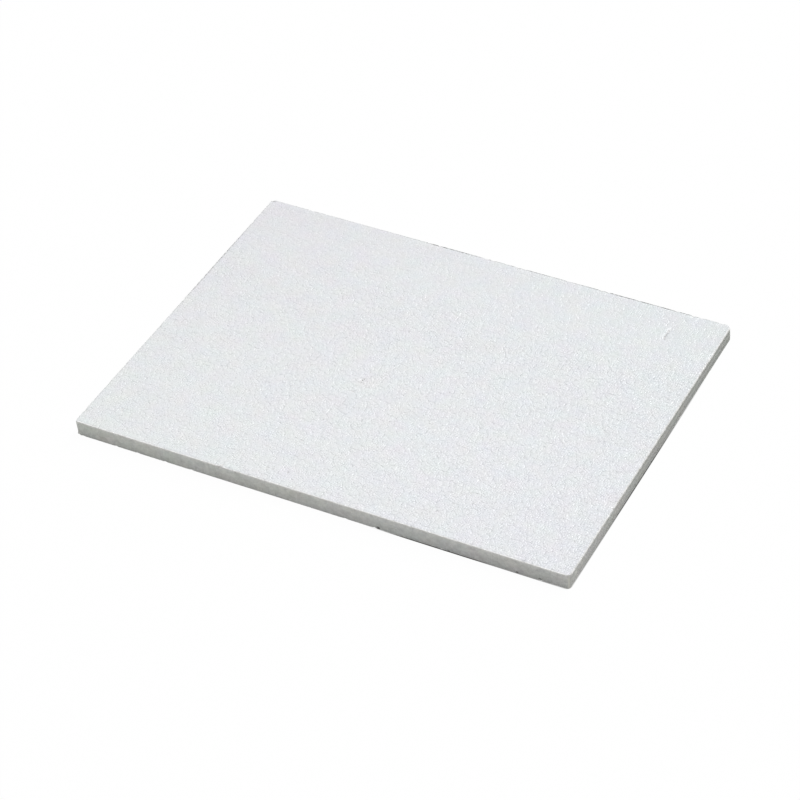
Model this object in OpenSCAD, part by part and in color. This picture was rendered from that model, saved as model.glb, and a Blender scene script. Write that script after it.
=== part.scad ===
// Foam block: a thin slab moulded in one piece from expanded plastic beads.
// Millimetres, +Z up. The origin is the middle of the underside, the long edges
// run along X, and the front edge is the one at -Y.
// The slab is worn: its arrises have lost parts of beads, two upright corners are
// rubbed round at the top, a third is knocked at the foot, one chip is larger, and
// a few gaps between the beads stand open in its faces.

/* [Block] */
// Length of the block along X
block_length = 320; // [240:5:400]
// Width of the block along Y
block_width = 250; // [180:5:320]
// Thickness of the block
block_thickness = 10; // [8:0.5:20]
// Radius of the four upright corners, seen from above
corner_radius = 1.8; // [1.4:0.1:6]
// Rounding of the arris round the upper face
upper_arris_radius = 0.3; // [0.2:0.1:1.2]
// Rounding of the arris round the underside
lower_arris_radius = 0.3; // [0.2:0.1:1.2]

/* [Worn arrises] */
// Width of one bead where it meets the wall of the mould
bead_width = 4.7; // [3.5:0.1:7]
// Length of a bite where an arris has lost part of a bead
bite_length = 3.4; // [2.6:0.1:4.2]
// Greatest depth of a bite, measured from the sharp arris
bite_depth = 0.6; // [0.5:0.05:1]
// Share of the beads along the upper arris that are bitten
upper_bite_share = 0.32; // [0.1:0.01:0.6]
// Share of the beads along the lower arris that are bitten
lower_bite_share = 0.16; // [0.05:0.01:0.5]
// Choice of random places and depths for the bites
bite_seed = 27; // [1:1:99]

/* [Chip and worn corners] */
// Distance of the chip in the front arris from the left end
chip_from_left = 98; // [30:1:150]
// Length of the chip along the arris
chip_length = 3.4; // [2.4:0.1:8]
// Depth of the chip, measured from the sharp arris
chip_depth = 1; // [0.7:0.1:2.5]
// Radius that the front left corner is knocked to at the underside
knock_radius = 4; // [2.5:0.1:6]
// Lean of the knocked face, so that it runs out towards the upper face
knock_lean = 6; // [3:0.5:10]
// Radius that the two right-hand corners are rubbed to at the upper face
rubbed_radius = 3.6; // [2:0.1:6]
// Lean of the rubbed faces, so that they run out towards the underside
rubbed_lean = 5; // [2:0.5:8]
// Length of the bead lost at the back left corner
lost_bead_length = 2.8; // [2:0.1:5]
// Depth of the bead lost at the back left corner
lost_bead_depth = 0.8; // [0.6:0.1:1.8]

/* [Open gaps] */
// Width of the mouth of an open gap between beads
gap_width = 1.3; // [0.8:0.1:2]
// Depth of an open gap
gap_depth = 0.7; // [0.4:0.1:1]
// Gaps that join into the crack near the back right corner
crack_gaps = 8; // [2:1:12]
// Distance between the gaps of the crack
crack_pitch = 1.3; // [0.8:0.1:2]
// Distance of the crack from the right end
crack_from_right = 33.2; // [15:0.1:60]
// Distance of the crack's first gap from the back edge
crack_from_back = 19.9; // [10:0.1:60]
// Scattered gaps in each of the two large faces
scattered_gaps = 12; // [4:1:40]
// Width of the border that the scattered gaps stay out of
gap_border = 9; // [4:1:30]
// Choice of random places for the scattered gaps
gap_seed = 8; // [1:1:99]

/* [Hidden] */
$fn = 64;

foam_white = [0.93, 0.93, 0.94];
// Gaps in the upper face that show one by one, each from the left end and from the
// front edge. The first four join into a slot, and the last three into a crescent.
shown_gap_places = [
    [137.2, 104.6], [137.5, 105.9], [137.9, 107.2], [138.3, 108.5], [138.6, 115.8], [136.9, 95],
    [171.4, 40.5], [46.9, 32.2], [20.4, 22.4], [19.8, 21.2], [20.6, 20.1]
];

// Straight stretches of the outline, between the upright corners
straight_length = block_length - 2 * corner_radius;
straight_width = block_width - 2 * corner_radius;
corner_run = PI * corner_radius / 2;
outline_run = 2 * straight_length + 2 * straight_width + 4 * corner_run;

// The outline is walked anticlockwise from the left end of the front edge.
// Side 0 is the front, 1 the right, 2 the back and 3 the left.
function is_long(side) = side % 2 == 0;
function side_run(side) = is_long(side) ? straight_length : straight_width;
function side_reach(side) = (is_long(side) ? block_width : block_length) / 2;
function side_facing(side) = 90 * side - 90;
function heading(angle) = [cos(angle), sin(angle)];

// A place on the outline is its point and the direction that the wall faces there.
function straight_place(side, run) =
    let (facing = side_facing(side))
    [side_reach(side) * heading(facing) + (run - side_run(side) / 2) * heading(facing + 90), facing];

function corner_place(side, turn) =
    let (facing = side_facing(side))
    let (centre = (side_reach(side) - corner_radius) * heading(facing)
        + side_run(side) / 2 * heading(facing + 90))
    [centre + corner_radius * heading(facing + turn), facing + turn];

function place_at(run, side = 0) =
    run < side_run(side) ? straight_place(side, run)
    : run < side_run(side) + corner_run ? corner_place(side, 90 * (run - side_run(side)) / corner_run)
    : place_at(run - side_run(side) - corner_run, side + 1);

// Radius of the ball that leaves a mark of this half width and depth
function ball_radius(half_width, depth) = (half_width * half_width + depth * depth) / (2 * depth);

// Section of the slab across a pair of opposite walls, both arrises rounded.
module slab_section(span) {
    translate([-span / 2 + upper_arris_radius, block_thickness / 2])
        square([span - 2 * upper_arris_radius, block_thickness / 2]);
    translate([-span / 2 + lower_arris_radius, 0])
        square([span - 2 * lower_arris_radius, block_thickness / 2]);
    translate([-span / 2, lower_arris_radius])
        square([span, block_thickness - lower_arris_radius - upper_arris_radius]);
    for (end = [-1, 1]) {
        translate([end * (span / 2 - upper_arris_radius), block_thickness - upper_arris_radius])
            circle(upper_arris_radius);
        translate([end * (span / 2 - lower_arris_radius), lower_arris_radius])
            circle(lower_arris_radius);
    }
}

// Stretch of the slab between two opposite walls, its section drawn out along X.
module slab_run(span, run) {
    rotate([90, 0, 90])
        translate([0, 0, -run / 2])
            linear_extrude(run)
                slab_section(span);
}

// Upright corner: half of the same section, turned about the corner's axis.
module corner_post() {
    rotate_extrude()
        intersection() {
            slab_section(2 * corner_radius);
            square([corner_radius, block_thickness]);
        }
}

module sound_slab() {
    slab_run(block_width, straight_length);
    rotate(90)
        slab_run(block_length, straight_width);
    for (x = [-1, 1], y = [-1, 1])
        translate([x * straight_length / 2, y * straight_width / 2])
            corner_post();
}

// Ball that bites an arris at one place. lean is +1 on the upper arris and -1 on
// the lower one, and the ball stands off along the diagonal between the two faces.
module arris_bite(run, length, depth, lean) {
    place = place_at(run);
    radius = ball_radius(length / 2, depth);
    stand_off = (radius - depth) / sqrt(2);
    height = lean > 0 ? block_thickness : 0;
    translate([place[0][0], place[0][1], height])
        rotate(place[1])
            translate([stand_off, 0, lean * stand_off])
                sphere(radius);
}

// Bites along one whole arris, one possible bite to a bead.
module worn_arris(share, lean, seed) {
    beads = floor(outline_run / bead_width);
    pitch = outline_run / beads;
    chance = rands(0, 1, beads, seed);
    slip = rands(-0.25, 0.25, beads, seed + 1);
    wear = rands(0.55, 1, beads, seed + 2);
    for (i = [0 : beads - 1])
        if (chance[i] < share)
            arris_bite((i + 0.5 + slip[i]) * pitch, bite_length * sqrt(wear[i]), bite_depth * wear[i], lean);
}

// The chip in the front arris, and a smaller one that it trails to its right.
module chip() {
    arris_bite(chip_from_left - corner_radius, chip_length, chip_depth, 1);
    arris_bite(chip_from_left - corner_radius + 2.4 * chip_length, 0.8 * chip_length, 0.6 * chip_depth, 1);
}

// What is worn off one upright corner. It is bounded by a round face that is tangent
// to both walls at one height. A lean above 0 takes it out of the corner below there,
// and one below 0 takes it out above.
module worn_off_corner(side_x, side_y, height, radius, lean) {
    translate([side_x * (block_length / 2 - radius), side_y * (block_width / 2 - radius), height])
        rotate(atan2(side_y, side_x))
            rotate([0, -lean, 0])
                difference() {
                    rotate(-45)
                        translate([0, 0, -2 * block_thickness])
                            cube([2 * radius, 2 * radius, 4 * block_thickness]);
                    translate([0, 0, -3 * block_thickness])
                        cylinder(r = radius, h = 6 * block_thickness);
                }
}

// Right-hand corners, rubbed most at the upper face.
module rubbed_corners() {
    for (side = [-1, 1])
        worn_off_corner(1, side, block_thickness, rubbed_radius, rubbed_lean);
}

// Front left corner, knocked most at the underside.
module knocked_corner() {
    worn_off_corner(-1, -1, 0, knock_radius, -knock_lean);
}

// Bead lost from the upper arris at the back left corner.
module lost_bead() {
    run = 2 * straight_length + straight_width + 2.5 * corner_run;
    arris_bite(run, lost_bead_length, lost_bead_depth, 1);
}

// Open gap between beads, as a ball that dips into a large face.
module open_gap(x, y, width, side) {
    radius = ball_radius(width / 2, gap_depth);
    height = side > 0 ? block_thickness : 0;
    translate([x, y, height + side * (radius - gap_depth)])
        sphere(radius, $fn = 32);
}

// Crack near the back right corner: a row of gaps towards the front.
module crack() {
    for (i = [0 : crack_gaps - 1])
        open_gap(block_length / 2 - crack_from_right,
            block_width / 2 - crack_from_back - i * crack_pitch, gap_width, 1);
}

// Gaps that can be seen one by one in the upper face.
module shown_gaps() {
    for (place = shown_gap_places)
        open_gap(place[0] - block_length / 2, place[1] - block_width / 2, gap_width, 1);
}

module scatter_gaps(side, seed) {
    reach = [block_length / 2 - gap_border, block_width / 2 - gap_border];
    across = rands(-1, 1, scattered_gaps, seed);
    along = rands(-1, 1, scattered_gaps, seed + 1);
    size = rands(0.7, 1, scattered_gaps, seed + 2);
    for (i = [0 : scattered_gaps - 1])
        open_gap(across[i] * reach[0], along[i] * reach[1], gap_width * size[i], side);
}

module foam_block() {
    color(foam_white)
        difference() {
            sound_slab();
            worn_arris(upper_bite_share, 1, bite_seed);
            worn_arris(lower_bite_share, -1, bite_seed + 10);
            chip();
            rubbed_corners();
            knocked_corner();
            lost_bead();
            crack();
            shown_gaps();
            scatter_gaps(1, gap_seed);
            scatter_gaps(-1, gap_seed + 10);
        }
}

foam_block();
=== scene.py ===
"""Foam block: a thin white slab, moulded in one piece from expanded plastic beads.

The skin of the slab is divided into the beads that show in it. Each bead is a patch that the wall
of the mould pressed almost flat, and a narrow groove parts it from the beads around it. Where the
slab is chipped, knocked or open between beads, the skin follows the solid of the part.

All lengths are metres. +Z is up, the long edges run along X, and the front edge is the one at -Y.
"""

import logging
import math
import random
import sys
from dataclasses import dataclass, field
from enum import Enum
from typing import NamedTuple

import bmesh
import bpy
from mathutils import Matrix, Vector
from mathutils.kdtree import KDTree

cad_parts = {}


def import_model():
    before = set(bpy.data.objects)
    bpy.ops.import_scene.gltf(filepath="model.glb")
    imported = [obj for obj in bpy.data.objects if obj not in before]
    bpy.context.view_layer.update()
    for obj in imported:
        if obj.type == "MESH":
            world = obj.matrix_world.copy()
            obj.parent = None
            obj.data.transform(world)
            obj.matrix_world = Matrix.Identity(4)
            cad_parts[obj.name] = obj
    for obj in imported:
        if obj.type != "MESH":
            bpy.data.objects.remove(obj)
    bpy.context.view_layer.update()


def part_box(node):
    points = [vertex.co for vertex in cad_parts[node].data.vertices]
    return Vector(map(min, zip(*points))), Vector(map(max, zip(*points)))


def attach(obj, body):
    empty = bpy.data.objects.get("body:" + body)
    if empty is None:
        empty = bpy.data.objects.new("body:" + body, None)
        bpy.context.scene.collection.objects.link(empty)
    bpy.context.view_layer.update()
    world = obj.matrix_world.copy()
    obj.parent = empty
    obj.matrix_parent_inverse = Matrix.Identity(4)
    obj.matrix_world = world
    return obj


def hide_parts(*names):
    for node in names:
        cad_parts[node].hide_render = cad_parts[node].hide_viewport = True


LOG = logging.getLogger("foam_block")

MM = 0.001
NODE = "foam_block"
BODY = "root"

Point2 = tuple[float, float]
# A corner of a flat cell, with the label of the edge that starts there.
Edge = tuple[float, float, int]
Cell = list[Edge]
Colour = tuple[float, float, float, float]
# Noise in three channels swings about this middle.
NOISE_MIDDLE = (0.5, 0.5, 0.5)


# ---------------------------------------------------------------------------------------------
# Node trees
# ---------------------------------------------------------------------------------------------


class Value:
    """A number in a node tree, so that the maths of nodes reads as plain maths."""

    def __init__(self, nodes: "Nodes", socket: bpy.types.NodeSocket) -> None:
        """Wrap a socket.

        Args:
            nodes: The tree that the socket belongs to.
            socket: The output that gives the number.
        """
        self.nodes = nodes
        self.socket = socket

    def __add__(self, other: "Value | float") -> "Value":
        """Return the sum."""
        return self.nodes.math("ADD", self, other)

    __radd__ = __add__

    def __sub__(self, other: "Value | float") -> "Value":
        """Return the difference."""
        return self.nodes.math("SUBTRACT", self, other)

    def __rsub__(self, other: "Value | float") -> "Value":
        """Return the difference with the number on the left."""
        return self.nodes.math("SUBTRACT", other, self)

    def __mul__(self, other: "Value | float") -> "Value":
        """Return the product."""
        return self.nodes.math("MULTIPLY", self, other)

    __rmul__ = __mul__

    def __truediv__(self, other: "Value | float") -> "Value":
        """Return the quotient."""
        return self.nodes.math("DIVIDE", self, other)

    def __rtruediv__(self, other: "Value | float") -> "Value":
        """Return the quotient with the number below the line."""
        return self.nodes.math("DIVIDE", other, self)

    def __neg__(self) -> "Value":
        """Return the number with its sign turned."""
        return self.nodes.math("MULTIPLY", self, -1.0)

    def __abs__(self) -> "Value":
        """Return the number without its sign."""
        return self.nodes.math("ABSOLUTE", self)

    def ramp(self, low: float, high: float) -> "Value":
        """Turn the number into a smooth step up.

        Args:
            low: Where the rise begins.
            high: Where it ends.

        Returns:
            0 up to low, 1 from high on, and a smooth rise between them.
        """
        node = self.nodes.add(
            "ShaderNodeMapRange",
            {"interpolation_type": "SMOOTHSTEP"},
            {"Value": self, "From Min": low, "From Max": high},
        )
        return self.nodes.value(node, "Result")

    def fade(self, low: float, high: float) -> "Value":
        """Return 1 up to low, 0 from high on, and a smooth fall between them."""
        return 1.0 - self.ramp(low, high)


class Nodes:
    """A node tree that is filled from values, links and the names of node types."""

    def __init__(self, tree: bpy.types.NodeTree) -> None:
        """Hold a tree.

        Args:
            tree: The shader or geometry tree to fill.
        """
        self.tree = tree

    def add(self, kind: str, settings: dict | None = None, inputs: dict | None = None) -> bpy.types.Node:
        """Add one node.

        Args:
            kind: The node's type.
            settings: Properties of the node, which are set before its sockets.
            inputs: A value, socket or Value for each input, by the input's identifier.

        Returns:
            The new node.
        """
        node = self.tree.nodes.new(kind)
        for name, setting in (settings or {}).items():
            setattr(node, name, setting)
        sockets = {socket.identifier: socket for socket in node.inputs}
        for name, content in (inputs or {}).items():
            self.feed(sockets[name], content)
        return node

    def feed(self, socket: bpy.types.NodeSocket, content: object) -> None:
        """Link or set one input.

        Args:
            socket: The input.
            content: A Value or an output to link, or a plain value to set.
        """
        if isinstance(content, Value):
            content = content.socket
        if isinstance(content, bpy.types.NodeSocket):
            self.tree.links.new(content, socket)
        else:
            socket.default_value = content

    def value(self, node: bpy.types.Node, output: str) -> Value:
        """Return the output of a node that has this identifier."""
        return Value(self, next(socket for socket in node.outputs if socket.identifier == output))

    def math(self, operation: str, *operands: "Value | float") -> Value:
        """Add one Math node.

        Args:
            operation: The node's operation.
            operands: One to three numbers.

        Returns:
            The result.
        """
        names = ("Value", "Value_001", "Value_002")
        node = self.add("ShaderNodeMath", {"operation": operation}, dict(zip(names, operands)))
        return self.value(node, "Value")

    def vector(self, operation: str, *operands: object, scale: object = None) -> Value:
        """Add one Vector Math node that gives a vector.

        Args:
            operation: The node's operation.
            operands: One or two vectors.
            scale: The factor of a SCALE.

        Returns:
            The resulting vector.
        """
        inputs = dict(zip(("Vector", "Vector_001"), operands))
        if scale is not None:
            inputs["Scale"] = scale
        node = self.add("ShaderNodeVectorMath", {"operation": operation}, inputs)
        return self.value(node, "Vector")

    def measure(self, operation: str, *operands: object) -> Value:
        """Add one Vector Math node that gives a number, such as a LENGTH or a DISTANCE."""
        inputs = dict(zip(("Vector", "Vector_001"), operands))
        return self.value(self.add("ShaderNodeVectorMath", {"operation": operation}, inputs), "Value")

    def split(self, vector: Value) -> list[Value]:
        """Return the X, Y and Z of a vector."""
        node = self.add("ShaderNodeSeparateXYZ", None, {"Vector": vector})
        return [self.value(node, axis) for axis in "XYZ"]

    def join(self, x: object, y: object, z: object) -> Value:
        """Return the vector with these parts."""
        return self.value(self.add("ShaderNodeCombineXYZ", None, {"X": x, "Y": y, "Z": z}), "Vector")

    def blend(self, factor: "Value | float", first: object, second: object) -> Value:
        """Blend two colours.

        Args:
            factor: 0 gives the first colour and 1 the second.
            first: A colour or a link.
            second: A colour or a link.

        Returns:
            The blended colour.
        """
        node = self.add(
            "ShaderNodeMix",
            {"data_type": "RGBA"},
            {"Factor_Float": factor, "A_Color": first, "B_Color": second},
        )
        return self.value(node, "Result_Color")

    def diffuse(self, colour: Colour) -> Value:
        """Return a matt shader of this colour."""
        return self.value(self.add("ShaderNodeBsdfDiffuse", None, {"Color": colour}), "BSDF")

    def mix(self, factor: "Value | float", first: Value, second: Value) -> Value:
        """Mix two shaders.

        Args:
            factor: 0 gives the first shader and 1 the second.
            first: A shader.
            second: A shader.

        Returns:
            The mixed shader.
        """
        inputs = {"Fac": factor, "Shader": first, "Shader_001": second}
        return self.value(self.add("ShaderNodeMixShader", None, inputs), "Shader")


def empty_tree(holder: bpy.types.Material | bpy.types.World) -> Nodes:
    """Empty the node tree of a material or a world.

    Args:
        holder: The new material or world.

    Returns:
        Its tree, without any node.
    """
    holder.use_nodes = True
    holder.node_tree.nodes.clear()
    return Nodes(holder.node_tree)


# ---------------------------------------------------------------------------------------------
# The slab and the flat facets of its skin
# ---------------------------------------------------------------------------------------------


@dataclass(frozen=True)
class Slab:
    """The sound slab, before any wear.

    On the right-hand side the radius of an upright corner shrinks from the rubbed radius, by
    rubbed_growth for each metre below the upper face. The border is the narrow strip beside each
    rounded arris. The stations are the steps of a walk along the outline, finer in the near walls.
    """

    NEAR_WALLS = (0, 3)

    length: float
    width: float
    thickness: float
    corner_radius: float = 1.8 * MM
    rubbed_radius: float = 3.6 * MM
    rubbed_growth: float = 0.21
    upper_arris: float = 0.3 * MM
    lower_arris: float = 0.3 * MM
    border: float = 0.2 * MM
    station: float = 2.35 * MM
    fine_station: float = 1.2 * MM
    corner_steps: int = 4

    @classmethod
    def of_part(cls) -> "Slab":
        """Return the slab that fills the box of the part's solid."""
        low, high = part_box(NODE)
        return cls(high[0] - low[0], high[1] - low[1], high[2] - low[2])

    @property
    def turns(self) -> list[tuple[int, int, float]]:
        """Return the side in X and Y and the starting angle of each upright corner, anticlockwise."""
        return [(1, -1, -90.0), (1, 1, 0.0), (-1, 1, 90.0), (-1, -1, 180.0)]

    def turn_radius(self, side_x: int, height: float) -> float:
        """Find the radius of an upright corner, which grows upwards on the rubbed right-hand side.

        Args:
            side_x: 1 for the corners on the right and -1 for those on the left.
            height: The height at which it is measured.

        Returns:
            The radius there.
        """
        if side_x < 0:
            return self.corner_radius
        return max(self.corner_radius, self.rubbed_radius - self.rubbed_growth * (self.thickness - height))

    def inset(self, x: float, y: float) -> float:
        """Return how far a point seen from above lies inside the outline.

        Args:
            x: The point's X.
            y: The point's Y.

        Returns:
            The distance to the outline, below 0 outside it.
        """
        over_x = abs(x) - (self.length / 2 - self.corner_radius)
        over_y = abs(y) - (self.width / 2 - self.corner_radius)
        if over_x > 0 and over_y > 0:
            return self.corner_radius - math.hypot(over_x, over_y)
        return self.corner_radius - max(over_x, over_y)

    def ring(self, inset: float, height: float) -> list[list[Vector]]:
        """Walk the outline anticlockwise, drawn in by an inset.

        Args:
            inset: How far inside the outline the walk goes.
            height: The height of all its points.

        Returns:
            The stretches of the walk. Corners and straights alternate, and a stretch begins where
            the last one ended.
        """
        arcs = []
        for side_x, side_y, start in self.turns:
            radius = self.turn_radius(side_x, height)
            centre = Vector(
                (side_x * (self.length / 2 - radius), side_y * (self.width / 2 - radius), height)
            )
            arc = []
            for step in range(self.corner_steps + 1):
                angle = math.radians(start + 90 * step / self.corner_steps)
                arc.append(centre + (radius - inset) * Vector((math.cos(angle), math.sin(angle), 0)))
            arcs.append(arc)
        stretches = []
        for number, (arc, following) in enumerate(zip(arcs, arcs[1:] + arcs[:1])):
            stretches.append(arc)
            run = following[0] - arc[-1]
            station = self.fine_station if number in self.NEAR_WALLS else self.station
            steps = round((self.width if number % 2 == 0 else self.length) / station)
            stretches.append([arc[-1] + run * step / steps for step in range(steps + 1)])
        return stretches

    def rings(self) -> list[list[list[Vector]]]:
        """Draw the rings that the skin folds at.

        Returns:
            The rings from the underside up to the upper face.
        """
        lower, upper, top = self.lower_arris, self.upper_arris, self.thickness
        lean = 1 - math.sqrt(0.5)
        return [
            self.ring(lower + self.border, 0),
            self.ring(lower, 0),
            self.ring(lower * lean, lower * lean),
            self.ring(0, lower),
            self.ring(0, lower + self.border),
            self.ring(0, top - upper - self.border),
            self.ring(0, top - upper),
            self.ring(upper * lean, top - upper * lean),
            self.ring(upper, top),
            self.ring(upper + self.border, top),
        ]


class Facet:
    """One flat, convex piece of the skin, with its own X and Y in its plane."""

    def __init__(self, corners: list[Vector], along: Vector) -> None:
        """Lay out a facet.

        Args:
            corners: Its corners in space, anticlockwise seen from outside the slab.
            along: The direction of its own X, in its plane.
        """
        self.origin = corners[0].copy()
        self.along = along.normalized()
        total = Vector()
        for corner, following in zip(corners, corners[1:] + corners[:1]):
            total += (corner - self.origin).cross(following - self.origin)
        self.normal = total.normalized()
        self.across = self.normal.cross(self.along)
        self.outline: Cell = [(*self.flat(corner), -1 - number) for number, corner in enumerate(corners)]
        self.centre = sum(corners, Vector()) / len(corners)
        self.reach = max((corner - self.centre).length for corner in corners)

    def flat(self, point: Vector) -> Point2:
        """Return a point's place in the plane of the facet."""
        away = point - self.origin
        return away.dot(self.along), away.dot(self.across)

    def lift(self, x: float, y: float) -> Vector:
        """Return the point in space that has this place in the plane."""
        return self.origin + x * self.along + y * self.across


class Skin:
    """The facets of the slab's skin, large ones apart from the small ones along the arrises.

    Each pair of neighbouring rings bounds a strip, and one of the strips is the upright wall.
    """

    WALL_STRIP = 4

    def __init__(self, slab: Slab) -> None:
        """Divide the skin.

        Args:
            slab: The slab that it covers.
        """
        rings = slab.rings()
        lengthways = Vector((1, 0, 0))
        self.large: list[Facet] = [
            Facet([point for stretch in rings[-1] for point in stretch[:-1]], lengthways),
            Facet([point for stretch in rings[0] for point in stretch[:-1]][::-1], lengthways),
        ]
        self.small: list[Facet] = []
        for strip, (below, above) in enumerate(zip(rings, rings[1:])):
            for number, (low, high) in enumerate(zip(below, above)):
                is_straight = number % 2 == 1
                if strip == self.WALL_STRIP and is_straight:
                    self.large.append(Facet(low + high[::-1], low[-1] - low[0]))
                    continue
                for step in range(len(low) - 1):
                    corners = [low[step], low[step + 1], high[step + 1], high[step]]
                    self.small.append(Facet(corners, low[step + 1] - low[step]))


# ---------------------------------------------------------------------------------------------
# The packing of the beads
# ---------------------------------------------------------------------------------------------


class Kind(Enum):
    """What fills a place in the packing."""

    BEAD = "bead"
    GAP = "gap"


@dataclass(frozen=True)
class Site:
    """The centre of a bead, or the place of an open gap between beads."""

    centre: Vector
    kind: Kind = Kind.BEAD


@dataclass
class Packing:
    """Where the centres of the beads lie.

    They lie at a depth below the two faces and at an inset from the walls. Open gaps lie deeper and
    have a lining of beads round them, and lining_share of the pitch is what other beads keep clear
    of it. Shifts, slips and stretches are shares of the size that they act on.
    """

    pitch: float = 4.6 * MM
    depth: float = 2.1 * MM
    depth_spread: float = 0.8 * MM
    shift: float = 0.36
    turn: float = math.radians(17)
    field_inset: float = 5.6 * MM
    wall_inset: float = 2.1 * MM
    wall_spread: float = 0.55 * MM
    wall_shift: tuple[float, float] = (-0.3, 0.6)
    wall_stretch: tuple[float, float] = (0.82, 1.18)
    wall_offsets: tuple[float, float, float] = (0.0, 0.5, 0.1)
    gap_depth: float = 2.6 * MM
    gap_room: float = 3.6 * MM
    lining_beads: int = 5
    lining_reach: float = 2.3 * MM
    lining_slip: float = 0.15
    lining_stretch: tuple[float, float] = (0.95, 1.1)
    lining_room: float = 1.9 * MM
    lining_share: float = 0.6
    seed: int = 11

    def sites(self, slab: Slab, gaps: list[Vector]) -> list[Site]:
        """Place the beads that show in the skin.

        Args:
            slab: The slab that they fill.
            gaps: The bottoms of the open gaps in its two faces.

        Returns:
            The centres of the beads, and one deep centre for each gap.
        """
        draw = random.Random(self.seed)
        holes = []
        for gap in gaps:
            is_upper = gap.z > slab.thickness / 2
            height = slab.thickness - self.gap_depth if is_upper else self.gap_depth
            holes.append(Vector((gap.x, gap.y, height)))
        lining = self._lining(slab, holes, draw)
        clear = [
            centre
            for centre in self._field(slab, draw) + self._wall_rows(slab, draw)
            if self._is_clear(centre, holes, self.gap_room)
            and self._is_clear(centre, lining, self.lining_share * self.pitch)
        ]
        return [Site(centre) for centre in clear + lining] + [Site(hole, Kind.GAP) for hole in holes]

    @staticmethod
    def _is_clear(centre: Vector, others: list[Vector], room: float) -> bool:
        """Tell whether a centre keeps its distance from others under the same face."""
        return all(abs(centre.z - other.z) > room or (centre - other).xy.length > room for other in others)

    def _lining(self, slab: Slab, holes: list[Vector], draw: random.Random) -> list[Vector]:
        """Line the open gaps with beads, which make their mouths narrow.

        Args:
            slab: The slab.
            holes: The deep centres of the gaps.
            draw: The source of random numbers.

        Returns:
            The centres of the lining beads.
        """
        lining: list[Vector] = []
        for hole in holes:
            start = draw.uniform(0, math.tau)
            height = slab.thickness - self.depth if hole.z > slab.thickness / 2 else self.depth
            for number in range(self.lining_beads):
                slip = draw.uniform(-self.lining_slip, self.lining_slip)
                heading = start + math.tau * (number + slip) / self.lining_beads
                away = Vector((math.cos(heading), math.sin(heading), 0)) * self.lining_reach
                centre = Vector((hole.x, hole.y, height)) + away * draw.uniform(*self.lining_stretch)
                others = [other for other in holes if other is not hole]
                if self._is_clear(centre, others + lining, self.lining_room):
                    lining.append(centre)
        return lining

    def _field(self, slab: Slab, draw: random.Random) -> list[Vector]:
        """Fill the two large faces with loose triangular lattices.

        Args:
            slab: The slab.
            draw: The source of random numbers.

        Returns:
            The centres of the beads.
        """
        row_pitch = self.pitch * math.sqrt(3) / 2
        reach = math.hypot(slab.length, slab.width) / 2
        rows = math.ceil(reach / row_pitch)
        columns = math.ceil(reach / self.pitch)
        centres = []
        for height, sign in ((slab.thickness - self.depth, -1), (self.depth, 1)):
            turn = Matrix.Rotation(sign * self.turn, 2)
            for row in range(-rows, rows + 1):
                for column in range(-columns, columns + 1):
                    flat = Vector(((column + 0.5 * (row % 2)) * self.pitch, row * row_pitch))
                    flat += Vector((draw.uniform(-1, 1), draw.uniform(-1, 1))) * self.shift * self.pitch
                    deep = draw.uniform(-1, 1) * self.depth_spread
                    place = turn @ flat
                    if slab.inset(*place) > self.field_inset:
                        centres.append(Vector((*place, height + deep)))
        return centres

    def _wall_rows(self, slab: Slab, draw: random.Random) -> list[Vector]:
        """Line the walls with three rows of beads, the middle one set off by half a bead.

        Args:
            slab: The slab.
            draw: The source of random numbers.

        Returns:
            The centres of the beads.
        """
        centres = []
        heights = (slab.thickness - self.depth, slab.thickness / 2, self.depth)
        for height, offset in zip(heights, self.wall_offsets):
            walk = [p for stretch in slab.ring(self.wall_inset, height) for p in stretch[:-1]]
            run = 0.0
            target = offset * self.pitch
            for here, there in zip(walk, walk[1:] + walk[:1]):
                step = (there - here).length
                while target < run + step:
                    along = (there - here).normalized()
                    inward = Vector((-along.y, along.x, 0))
                    centre = here + along * (target - run)
                    centre += inward * draw.uniform(*self.wall_shift) * self.wall_spread
                    centre.z += draw.uniform(-1, 1) * self.wall_spread
                    centres.append(centre)
                    target += self.pitch * draw.uniform(*self.wall_stretch)
                run += step
        return centres


# ---------------------------------------------------------------------------------------------
# The skin divided into beads
# ---------------------------------------------------------------------------------------------


def cut(cell: Cell, a: float, b: float, c: float, label: int) -> Cell:
    """Keep the part of a convex cell on one side of a line.

    Args:
        cell: The cell. Each corner carries the label of the edge that starts there.
        a: The line's factor of X.
        b: The line's factor of Y.
        c: The side a * x + b * y <= c is kept.
        label: The label of the new edge along the line.

    Returns:
        The cell that is left, which is the same list if nothing was cut.
    """
    over = [a * x + b * y - c for x, y, _ in cell]
    if max(over, default=0.0) <= 0.0:
        return cell
    kept: Cell = []
    count = len(cell)
    for number, (x, y, edge) in enumerate(cell):
        here = over[number]
        following = (number + 1) % count
        there = over[following]
        if here <= 0.0:
            kept.append((x, y, edge))
        if (here <= 0.0) == (there <= 0.0):
            continue
        share = here / (here - there)
        next_x, next_y, _ = cell[following]
        crossing = (x + share * (next_x - x), y + share * (next_y - y))
        kept.append((*crossing, label if here <= 0.0 else edge))
    return kept


def area(cell: Cell) -> float:
    """Measure a flat cell.

    Args:
        cell: The cell, anticlockwise.

    Returns:
        Its area.
    """
    total = 0.0
    for (x, y, _), (next_x, next_y, _) in zip(cell, cell[1:] + cell[:1]):
        total += x * next_y - next_x * y
    return total / 2


class Plane(NamedTuple):
    """The plane half way between a bead and one of its neighbours."""

    distance: float
    neighbour: int
    normal: Vector
    middle: float


# The cells of the skin that each bead owns, with the facet that each of them lies in.
Shares = dict[int, list[tuple[Facet, Cell]]]


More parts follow.
